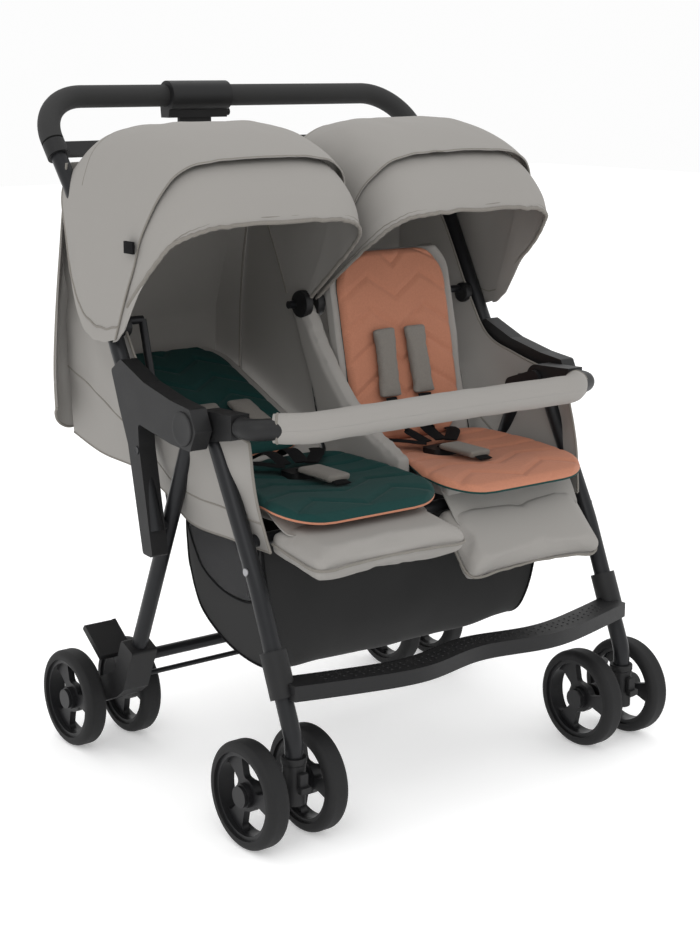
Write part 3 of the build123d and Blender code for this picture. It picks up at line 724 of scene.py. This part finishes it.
    def hems(self, word: str) -> None:
        """Make the bound hems, seams and stitch lines."""
        split = self.visor_share
        visor_body = f"visor_{word}"
        rows: list[tuple[str, list[Point], float, int, str]] = [
            ("visor_hem", [self.place(i / 80, 0.002, 0.0028) for i in range(81)], 0.0060, 240, visor_body),
            ("visor_stitch", [self.place(i / 80, 0.036, 0.0016, 0.0012) for i in range(2, 79)], 0.0013, 240,
             visor_body),
            ("hood_seam", [self.place(i / 80, split + 0.004) for i in range(81)], 0.0030, 200, "seat_module"),
            ("vent_seam", [self.place(i / 80, 0.80) for i in range(12, 72)], 0.0026, 200, "seat_module"),
            ("hood_rear_hem", [self.place(i / 80, 0.998) for i in range(81)], 0.0040, 200, "seat_module"),
            ("skirt_hem", [self.place(0.001, lerp(split, 1.0, i / 40)) for i in range(41)], 0.0036, 90,
             "seat_module"),
            ("curtain_hem", [self.curtain_place(i / 60, 0.999) for i in range(61)], 0.0042, 120,
             "seat_module"),
        ]
        for name, across in (("outer", 0.002), ("inner", 0.998)):
            line = [self.curtain_place(across, i / 30) for i in range(31)]
            rows.append((f"curtain_{name}_edge", line, 0.0036, 60, "seat_module"))
        for name, line, width, count, body in rows:
            mount(strand(f"{name}_{word}", line, HEM_CLOTH, width, count=count), body, "grey_cloth")

    def fittings(self, word: str) -> None:
        """Make the pivot bosses and the plain label tab."""
        sign = self.side.value
        spot = (sign * 0.327, self.pivot_y - 0.006, self.pivot_z - 0.006)
        boss = disc(f"hood_boss_{word}", spot, "X", 0.016, 0.014, BLACK_MOULD, 0.002)
        mount(boss, "seat_module", "black_plastic")
        spot = (sign * 0.0115, self.pivot_y - 0.014, self.pivot_z + 0.002)
        inner = disc(f"hood_inner_boss_{word}", spot, "X", 0.021, 0.015, BLACK_MOULD, 0.003)
        mount(inner, "seat_module", "black_plastic")
        if self.side is Side.LEFT:
            tab = rounded_slab("label_tab", (-0.3705, 0.006, 0.778), (-0.3665, 0.030, 0.795), 0.001, 0.0006)
            settle(tab, WEBBING)
            mount(tab, "seat_module", "webbing")


# ---------------------------------------------------------------- seats


@dataclass
class SeatSet:
    """One seat: its cushion, backrest, quilted liner, calf rest and harness."""

    side: Side
    back_angle: float
    calf_drop: float
    pad_reach: tuple[float, float]
    liner: Finish
    lining: Finish
    inner: float = 0.026
    outer: float = 0.262
    hinge: tuple[float, float] = (0.042, 0.438)
    rail: tuple[float, float] = (-0.1755, 0.400)
    seat_top: float = 0.4405

    def x(self, share: float, grow: float = 0.0) -> float:
        """The place across the seat at a share from the divider to the side panel."""
        return self.side.value * lerp(self.inner - grow, self.outer + grow, share)

    def on_back(self, up: float, off: float) -> tuple[float, float]:
        """The (y, z) point at a distance up the backrest and off its face."""
        angle = math.radians(self.back_angle)
        y = self.hinge[0] + up * math.cos(angle) - off * math.sin(angle)
        z = self.hinge[1] + up * math.sin(angle) + off * math.cos(angle)
        return y, z

    def quilt(self, across: float, along: float, length: float) -> float:
        """The height of the embossed zigzag at a place on the liner: 0 in a seam, 1 between seams."""
        pitch = 0.052
        wave = abs(((across * 4.0) % 2.0) - 1.0) * 0.034
        place = (along * length + wave) / pitch
        gap = abs(place - round(place)) * pitch
        cross = abs(((along * length / 0.104 + across * 2.0) % 1.0) - 0.5) * 0.104
        groove = min(gap, cross + 0.012)
        return min(1.0, groove / 0.010) ** 0.6

    def liner_slab(self, name: str, length: float, place: Callable[[float, float, float], Point],
                   thick: float, corner: float) -> bpy.types.Object:
        """Make a quilted liner: a closed pad with rounded corners, an embossed face and a contrast edge.

        Args:
            name: The piece's name.
            length: Its length in metres, for the quilting's pitch.
            place: Gives a point for a share across, a share along and a height off the surface.
            thick: Its thickness.
            corner: Radius of its outer corners in metres.

        Returns:
            The finished pad.
        """
        width = self.outer - self.inner

        def squeeze(across: float, along: float) -> tuple[float, float]:
            from_end = min(along, 1 - along) * length
            if from_end < corner:
                cut = corner - math.sqrt(max(0.0, corner ** 2 - (corner - from_end) ** 2))
                across = lerp(cut / width, 1 - cut / width, across)
            return across, along

        def top(across: float, along: float) -> Point:
            rim = min(min(across, 1 - across) * width, min(along, 1 - along) * length)
            swell = min(1.0, rim / 0.009) ** 0.5
            height = thick * (0.25 + 0.45 * swell + 0.30 * self.quilt(across, along, length) * swell)
            return place(*squeeze(across, along), height)

        deselect()
        bpy.ops.mesh.primitive_grid_add(x_subdivisions=120, y_subdivisions=150, size=1.0)
        piece = bpy.context.object
        piece.name = name
        shares = [(vertex.co.x + 0.5, vertex.co.y + 0.5) for vertex in piece.data.vertices]
        for vertex, (across, along) in zip(piece.data.vertices, shares):
            vertex.co = Vector(top(across, along))
        mesh = bmesh.new()
        mesh.from_mesh(piece.data)
        mesh.verts.ensure_lookup_table()
        twins = {}
        for vertex, (across, along) in zip(list(mesh.verts), shares):
            twins[vertex] = mesh.verts.new(Vector(place(*squeeze(across, along), 0.0)))
        for item in list(mesh.faces):
            lower = mesh.faces.new([twins[vertex] for vertex in reversed(item.verts)])
            lower.material_index = 1
        for item in [edge for edge in mesh.edges if len(edge.link_faces) == 1 and edge.verts[0] in twins]:
            a, b = item.verts
            side = mesh.faces.new([b, a, twins[a], twins[b]])
            side.material_index = 1
        bmesh.ops.recalc_face_normals(mesh, faces=mesh.faces)
        mesh.to_mesh(piece.data)
        mesh.free()
        piece.data.materials.append(self.liner.material())
        piece.data.materials.append(self.lining.material())
        settle(piece, self.liner, 60)
        return piece

    def build(self) -> None:
        """Make all the pieces of this seat."""
        self.cushion()
        self.apron()
        self.backrest()
        self.calf_rest()
        self.liners()
        self.harness()

    def cushion(self) -> None:
        """Make the grey seat cushion under the liner."""
        low = (min(self.x(0), self.x(1)), -0.201, 0.4165)
        high = (max(self.x(0), self.x(1)), 0.030, 0.4385)
        pad = rounded_slab(f"seat_cushion_{self.side.word}", low, high, 0.022, 0.006)
        inflate(pad, 0.006, 4.0, 0.003)
        settle(pad, GREY_CLOTH)
        mount(pad, "seat_module", "grey_cloth", f"seat_{self.side.word}")

    def apron(self) -> None:
        """Make the cloth that joins the seat's front to the calf rest."""
        slope = math.radians(self.calf_drop)
        normal = 0.0205
        ends = []
        for out in (0.034, 0.048):
            y = self.rail[0] - out * math.cos(slope) - normal * math.sin(slope)
            ends.append((y, self.rail[1] - out * math.sin(slope) + normal * math.cos(slope), 0.0))
        line = smooth_path([(-0.150, 0.4395, 0.0), (-0.178, 0.4385, 0.0), *ends], 24)

        def place(across: float, along: float) -> Point:
            spot = line[round(along * 24)]
            y, z = spot.x, spot.y
            x = lerp(lerp(0.020, 0.034, along), lerp(0.284, 0.270, along), across)
            return self.side.value * x, y, z + ripple((x, y, z), 30.0, 0.003) * math.sin(math.pi * along)

        name = f"seat_apron_{self.side.word}"
        sheet = cloth(name, 60, 24, place, GREY_CLOTH, 0.002)
        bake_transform(sheet)

    def backrest(self) -> None:
        """Make the padded backrest with its bolstered sides."""
        length = 0.312

        def place(across: float, along: float) -> Point:
            off = 0.006 + 0.010 * math.exp(-((min(across, 1 - across)) / 0.07) ** 2)
            off += ripple((across * 0.3, along * 0.3, self.side.value), 16.0, 0.003)
            corner = max(0.0, along - 0.86) / 0.14
            share = lerp(0.10 * corner ** 2, 1 - 0.10 * corner ** 2, across)
            y, z = self.on_back(0.004 + along * length, off)
            return self.x(share, 0.006), y, z

        pad = cloth(f"back_pad_{self.side.word}", 50, 60, place, GREY_CLOTH, 0.017)
        apply_modifier(pad, "SUBSURF", levels=1, render_levels=1)
        mount(pad, f"backrest_{self.side.word}", "grey_cloth", f"backrest_{self.side.word}")

    def calf_rest(self) -> None:
        """Make the grey calf rest as a filled cushion on its frame, with a seam round its edge."""
        start, length, thick, corner = 0.010, 0.116, 0.034, 0.040
        low_x, high_x = 0.016, 0.287
        drop = math.radians(180 + self.calf_drop)

        def at(x: float, out: float, off: float) -> Point:
            y = self.rail[0] + out * math.cos(drop) + off * math.sin(drop)
            z = self.rail[1] + out * math.sin(drop) - off * math.cos(drop)
            return self.side.value * x, y, z

        name = f"calf_cushion_{self.side.word}"
        low = (low_x, start, -thick / 2)
        high = (high_x, start + length, thick / 2)
        pad = rounded_slab(name, low, high, corner, 0.012)
        for vertex in pad.data.vertices:
            vertex.co = Vector(at(*vertex.co))
        if self.side is Side.LEFT:
            flip_faces(pad)
        inflate(pad, 0.006, 6.0, 0.008)
        settle(pad, GREY_CLOTH)
        mount(pad, f"calf_{self.side.word}", "grey_cloth", f"calf_rest_{self.side.word}")
        rim = self.rim_of(pad, at, start + length)
        seam = strand(f"calf_seam_{self.side.word}", rim, HEM_CLOTH, 0.0040, count=120)
        mount(seam, f"calf_{self.side.word}", "grey_cloth")

    def rim_of(self, pad: bpy.types.Object, at: Callable[[float, float, float], Point],
               length: float) -> list[Vector]:
        """Points round a pad's free edge, found on the swollen pad itself.

        Args:
            pad: The pad.
            at: Gives a point for a place across, a distance out and a height off the pad's middle plane.
            length: How far out the pad reaches.

        Returns:
            Points from one side, round the front, to the other side.
        """
        centre_x, beside_x = 0.1515, 0.2515
        middle = Vector(at(centre_x, 0.02, 0.0))
        across = (Vector(at(beside_x, 0.02, 0.0)) - middle).normalized()
        out = (Vector(at(centre_x, 0.12, 0.0)) - middle).normalized()
        up = across.cross(out).normalized()
        rim = []
        for index in range(33):
            angle = math.pi * index / 32
            ray = -across * math.cos(angle) + out * math.sin(angle)
            side = ray.cross(up)
            near = [vertex.co for vertex in pad.data.vertices
                    if max(abs((vertex.co - middle).dot(side)), abs((vertex.co - middle).dot(up))) < 0.006]
            reach = max(((spot - middle).dot(ray) for spot in near), default=length * 0.8)
            rim.append(middle + ray * (reach + 0.0006))
        return rim

    def liners(self) -> None:
        """Make the liner over the seat and the liner up the backrest."""
        front = -0.250

        def on_seat(across: float, along: float, height: float) -> Point:
            y = lerp(front, 0.040, along)
            dip = 0.006 * math.sin(math.pi * across) * math.sin(math.pi * along)
            droop = 0.017 * max(0.0, (-0.17 - y) / 0.080) ** 1.6
            back = max(0.0, min(1.0, (y + 0.17) / 0.05))
            edge = 0.010 * (abs(across - 0.5) * 2) ** 6 * back
            inner = lerp(0.005, 0.018, back)
            wide = lerp(0.286, 0.276, back)
            x = self.side.value * lerp(inner, wide, across)
            press = 0.008 * math.exp(-((abs(x) - 0.135) ** 2 + (y + 0.062) ** 2) / 0.024 ** 2)
            return x, y, self.seat_top + 0.003 + height - min(height, press) - dip - droop + edge

        def on_back(across: float, along: float, height: float) -> Point:
            y, z = self.on_back(0.012 + along * 0.300, 0.018 + height)
            return self.x(lerp(0.04, 0.96, across)), y, z

        slot = "teal_cloth" if self.side is Side.LEFT else "peach_cloth"
        seat = self.liner_slab(f"seat_liner_{self.side.word}", 0.290, on_seat, 0.012, 0.060)
        mount(seat, "seat_module", slot)
        back = self.liner_slab(f"back_liner_{self.side.word}", 0.300, on_back, 0.012, 0.060)
        mount(back, f"backrest_{self.side.word}", slot)

    def pad(self, name: str, low: Point, high: Point, body: str) -> None:
        """Make one small grey strap pad lying on a sloping line from low to high."""
        start, end = Vector(low), Vector(high)
        run = end - start
        across = Vector((0.021, 0.0, 0.0))
        up = across.cross(run).normalized()
        if up.z < 0:
            up = -up
        half = across.length
        made = rounded_slab(name, (-half, 0, -0.005), (half, run.length, 0.005), half * 0.62, 0.003)
        for vertex in made.data.vertices:
            c = vertex.co.copy()
            vertex.co = start + run.normalized() * c.y + across.normalized() * c.x + up * c.z
        flip_faces(made)
        inflate(made, 0.004, 4.0, 0.0025)
        settle(made, PAD_CLOTH)
        mount(made, body, "grey_cloth")

    def harness(self) -> None:
        """Make the shoulder pads, crotch pad and straps."""
        word = self.side.word
        middle = self.side.value * 0.135
        seat_z = self.seat_top + 0.018
        for index, shift in enumerate((-0.034, 0.034)):
            top_y, top_z = self.on_back(self.pad_reach[1], 0.038)
            low_y, low_z = self.on_back(self.pad_reach[0], 0.040)
            low = (middle + shift, low_y, low_z)
            high = (middle + shift * 0.9, top_y, top_z)
            self.pad(f"shoulder_pad_{word}_{index + 1}", low, high, f"backrest_{word}")
            strap = [low, (middle + shift * 0.9, low_y - 0.02, low_z - 0.035),
                     (middle + shift * 0.6, -0.005, seat_z + 0.016),
                     (middle + shift * 0.45, -0.045, seat_z + 0.004)]
            piece = strand(f"shoulder_strap_{word}_{index + 1}", strap, WEBBING, 0.024, 0.0028, count=24)
            mount(piece, "seat_module", "webbing")
            waist = [(middle + shift * 2.6, 0.020, seat_z + 0.004),
                     (middle + shift * 1.8, -0.02, seat_z + 0.008),
                     (middle + shift * 0.7, -0.055, seat_z + 0.004)]
            piece = strand(f"waist_strap_{word}_{index + 1}", waist, WEBBING, 0.022, 0.0028, count=24)
            mount(piece, "seat_module", "webbing")
        low = (middle, -0.155, self.seat_top + 0.020)
        high = (middle, -0.078, self.seat_top + 0.021)
        self.pad(f"crotch_pad_{word}", low, high, "seat_module")
        strap = [(middle, -0.165, self.seat_top + 0.014), (middle, -0.12, seat_z + 0.004),
                 (middle, -0.066, seat_z)]
        piece = strand(f"crotch_strap_{word}", strap, WEBBING, 0.026, 0.003, count=20)
        mount(piece, "seat_module", "webbing")


@dataclass
class Upholstery:
    """The cloth between and beside the seats."""

    panel_top: tuple[Point, ...] = (
        (0.300, -0.168, 0.535), (0.320, -0.11, 0.558), (0.327, -0.02, 0.577), (0.329, 0.05, 0.600),
        (0.330, 0.10, 0.665), (0.330, 0.18, 0.800), (0.330, 0.262, 0.870),
    )
    panel_foot: tuple[Point, ...] = (
        (0.291, -0.204, 0.388), (0.291, -0.11, 0.388), (0.291, -0.01, 0.390), (0.297, 0.05, 0.425),
        (0.300, 0.115, 0.448), (0.302, 0.22, 0.455), (0.304, 0.302, 0.474),
    )
    centre_top: tuple[Point, ...] = ((0.0, 0.110, 0.672), (0.0, 0.17, 0.77), (0.0, 0.242, 0.880))
    centre_foot: tuple[Point, ...] = ((0.0, 0.040, 0.440), (0.0, 0.17, 0.455), (0.0, 0.288, 0.480))

    def build(self) -> None:
        """Make the side panels, the centre panel and the divider."""
        for side in Side:
            self.side_panel(side)
        self.centre_panel()
        self.divider()

    def side_panel(self, side: Side) -> None:
        """Make one side panel with piping along its top, front and lower edges."""
        tops = smooth_path(self.panel_top, 60)
        feet = smooth_path(self.panel_foot, 60)

        def place(along: float, up: float) -> Point:
            low = min(int(along * 60), 59)
            share = along * 60 - low
            top = tops[low].lerp(tops[low + 1], share)
            foot = feet[low].lerp(feet[low + 1], share)
            spot = foot.lerp(top, up)
            bow = 0.006 * math.sin(math.pi * up)
            spot.x += bow + ripple(tuple(spot), 18.0, 0.006) * math.sin(math.pi * up)
            return side.value * min(spot.x, 0.3315), spot.y, spot.z

        panel = cloth(f"side_panel_{side.word}", 90, 36, place, GREY_CLOTH, 0.002)
        nodes = ("side_panels",) if side is Side.LEFT else ()
        mount(panel, "seat_module", "grey_cloth", *nodes)
        edges = {
            "top": [place(i / 30, 1.0) for i in range(31)],
            "front": [place(0.0, i / 12) for i in range(13)],
            "foot": [place(i / 30, 0.0) for i in range(31)],
            "seam": [place(i / 30, 0.27) for i in range(31)],
        }
        for name, line in edges.items():
            piping = strand(f"panel_{name}_piping_{side.word}", line, HEM_CLOTH, 0.0040)
            mount(piping, "seat_module", "grey_cloth")

    def centre_panel(self) -> None:
        """Make the cloth wall between the two seats, above and behind the divider."""
        tops = smooth_path(self.centre_top, 30)
        feet = smooth_path(self.centre_foot, 30)

        def place(along: float, up: float) -> Point:
            low = min(int(along * 30), 29)
            spot = feet[low].lerp(feet[low + 1], along * 30 - low)
            top = tops[low].lerp(tops[low + 1], along * 30 - low)
            spot = spot.lerp(top, up)
            return spot.x, spot.y + 0.014 * math.sin(math.pi * up) * along ** 4, spot.z

        wall = cloth("centre_panel", 30, 40, place, GREY_CLOTH, 0.002)
        mount(wall, "seat_module", "grey_cloth")

    def divider(self) -> None:
        """Make the padded wedge between the two seats."""
        outline = [(-0.135, 0.436), (-0.138, 0.462), (-0.10, 0.485), (-0.05, 0.515), (0.0, 0.556),
                   (0.05, 0.612), (0.092, 0.668), (0.118, 0.690), (0.135, 0.660), (0.10, 0.58),
                   (0.062, 0.48), (0.04, 0.430)]
        deselect()
        bpy.ops.mesh.primitive_circle_add(vertices=len(outline), radius=1.0, fill_type="NGON")
        wedge = bpy.context.object
        wedge.name = "divider_pad"
        for vertex, (y, z) in zip(wedge.data.vertices, outline):
            vertex.co = Vector((-0.010, y, z))
        bpy.ops.object.mode_set(mode="EDIT")
        bpy.ops.mesh.select_all(action="SELECT")
        bpy.ops.mesh.extrude_region_move(TRANSFORM_OT_translate={"value": (0.020, 0.0, 0.0)})
        bpy.ops.mesh.select_all(action="SELECT")
        bpy.ops.mesh.normals_make_consistent(inside=False)
        bpy.ops.object.mode_set(mode="OBJECT")
        inflate(wedge, 0.005, 4.0, 0.006)
        settle(wedge, GREY_CLOTH)
        mount(wedge, "seat_module", "grey_cloth", "seat_divider")


@dataclass
class Basket:
    """The shopping basket: black cloth with a mesh window high in each side."""

    half: float = 0.268
    top: float = 0.387
    rim: tuple[tuple[float, float], ...] = (
        (-0.150, 0.387), (-0.150, 0.30), (-0.147, 0.225), (-0.125, 0.190), (-0.065, 0.186), (-0.010, 0.203),
        (0.036, 0.245), (0.044, 0.30), (0.040, 0.345), (0.036, 0.387),
    )

    def build(self) -> None:
        """Make the basket's wrap, its end walls with windows, and its bound rim."""
        line = smooth_path([(y, z, 0.0) for y, z in self.rim], 60)

        def wrap(across: float, along: float) -> Point:
            spot = line[round(along * 60)]
            x = lerp(-1.0, 1.0, across) * self.width(spot.y)
            sag = 0.010 * math.sin(math.pi * across) * math.sin(math.pi * along)
            wave = ripple((x, spot.x, spot.y), 14.0, 0.009) * math.sin(math.pi * min(1.0, along * 1.2))
            wave *= min(1.0, min(across, 1 - across) * 12)
            return x, spot.x + wave, spot.y - sag

        body = cloth("basket_wrap", 80, 60, wrap, BASKET_CLOTH, 0.002)
        mount(body, "seat_module", "basket_cloth", "basket")
        for side in Side:
            self.end_wall(side, line)
        for name, along in (("front", 0.0), ("back", 1.0)):
            hem = strand(f"basket_{name}_hem", [wrap(i / 30, along) for i in range(31)], WEBBING, 0.006)
            mount(hem, "seat_module", "basket_cloth")

    def width(self, height: float) -> float:
        """Half the basket's width at a height: it narrows towards its floor."""
        share = max(0.0, min(1.0, (self.top - height) / 0.2))
        return lerp(self.half, self.half - 0.038, share ** 1.5)

    def end_wall(self, side: Side, line: list[Vector]) -> None:
        """Make one end wall: cloth below, a mesh window above, and bound edges."""
        first, last = self.rim[0][0], self.rim[-1][0]

        def place(along: float, up: float) -> Point:
            spot = line[round(along * 60)]
            y = lerp(spot.x, lerp(first, last, along), up)
            z = lerp(spot.y, self.top, up)
            return side.value * (self.width(z) + 0.003 * math.sin(math.pi * up)), y, z

        def below(along: float, up: float) -> Point:
            return place(along, up * 0.5)

        def above(along: float, up: float) -> Point:
            return place(along, lerp(0.5, 1.0, up))

        wall = cloth(f"basket_end_{side.word}", 60, 16, below, BASKET_CLOTH, 0.0016)
        mount(wall, "seat_module", "basket_cloth")
        window = cloth(f"basket_window_{side.word}", 60, 16, above, MESH_CLOTH, 0.0010)
        mount(window, "seat_module", "basket_cloth")
        lines = {"edge": (0.0, 0.007), "band": (0.5, 0.005), "top": (0.99, 0.010)}
        for name, (up, width) in lines.items():
            route = [place(i / 60, up) for i in range(61)]
            band = strand(f"basket_{name}_{side.word}", route, WEBBING, width, 0.004, count=90)
            mount(band, "seat_module", "basket_cloth")


# ---------------------------------------------------------------- studio


@dataclass
class Studio:
    """The pale floor, the soft lights and the camera."""

    eye: Point = (-1.6344, -2.0904, 1.0304)
    azimuth: float = -37.08
    pitch: float = 12.48
    lens: float = 68.54
    shift: tuple[float, float] = (0.0329, -0.0081)

    def build(self) -> None:
        """Make the floor, the world, the lights and the camera."""
        deselect()
        bpy.ops.mesh.primitive_plane_add(size=24.0, location=(0.0, 0.0, -0.0005))
        floor = bpy.context.object
        floor.name = "floor"
        paint = bpy.data.materials.new("floor_paint")
        paint.use_nodes = True
        shader = paint.node_tree.nodes["Principled BSDF"]
        shader.inputs["Base Color"].default_value = (0.9, 0.9, 0.9, 1.0)
        shader.inputs["Roughness"].default_value = 0.95
        shader.inputs["Emission Color"].default_value = (1.0, 1.0, 1.0, 1.0)
        shader.inputs["Emission Strength"].default_value = 0.30
        floor.data.materials.append(paint)
        world = bpy.context.scene.world or bpy.data.worlds.new("studio")
        bpy.context.scene.world = world
        world.use_nodes = True
        background = world.node_tree.nodes["Background"]
        background.inputs["Color"].default_value = (1.0, 1.0, 1.0, 1.0)
        background.inputs["Strength"].default_value = 0.98
        self.light("key", (-2.4, -2.6, 3.2), 2.4, 34.0)
        self.light("fill", (2.8, -2.0, 2.2), 2.6, 8.0)
        self.light("top", (0.2, 1.2, 3.4), 2.4, 16.0)
        data = bpy.data.cameras.new("view")
        camera = bpy.data.objects.new("view", data)
        bpy.context.scene.collection.objects.link(camera)
        camera.location = self.eye
        camera.rotation_euler = (math.radians(90 - self.pitch), 0.0, math.radians(self.azimuth))
        data.lens = self.lens
        data.shift_x, data.shift_y = self.shift
        bpy.context.scene.camera = camera
        bpy.context.scene.view_settings.view_transform = "Standard"

    def light(self, name: str, place: Point, size: float, power: float) -> None:
        """Make one soft area light that faces the stroller."""
        data = bpy.data.lights.new(name, "AREA")
        data.size = size
        data.energy = power
        lamp = bpy.data.objects.new(name, data)
        bpy.context.scene.collection.objects.link(lamp)
        lamp.location = place
        lamp.rotation_euler = (Vector((0.0, 0.0, 0.5)) - Vector(place)).to_track_quat("-Z", "Y").to_euler()


def main() -> None:
    """Build the stroller's looks in order."""
    logging.basicConfig(level=logging.INFO)
    HardParts().build()
    FrameTrim().build()
    BumperBar().build()
    SeatSet(Side.LEFT, 23.0, 9.0, (0.040, 0.130), TEAL_CLOTH, PEACH_CLOTH).build()
    SeatSet(Side.RIGHT, 78.0, 46.5, (0.080, 0.190), PEACH_CLOTH, TEAL_CLOTH).build()
    Upholstery().build()
    Basket().build()
    for side in Side:
        Canopy(side).build()
    Studio().build()


if __name__ == "__main__":
    main()
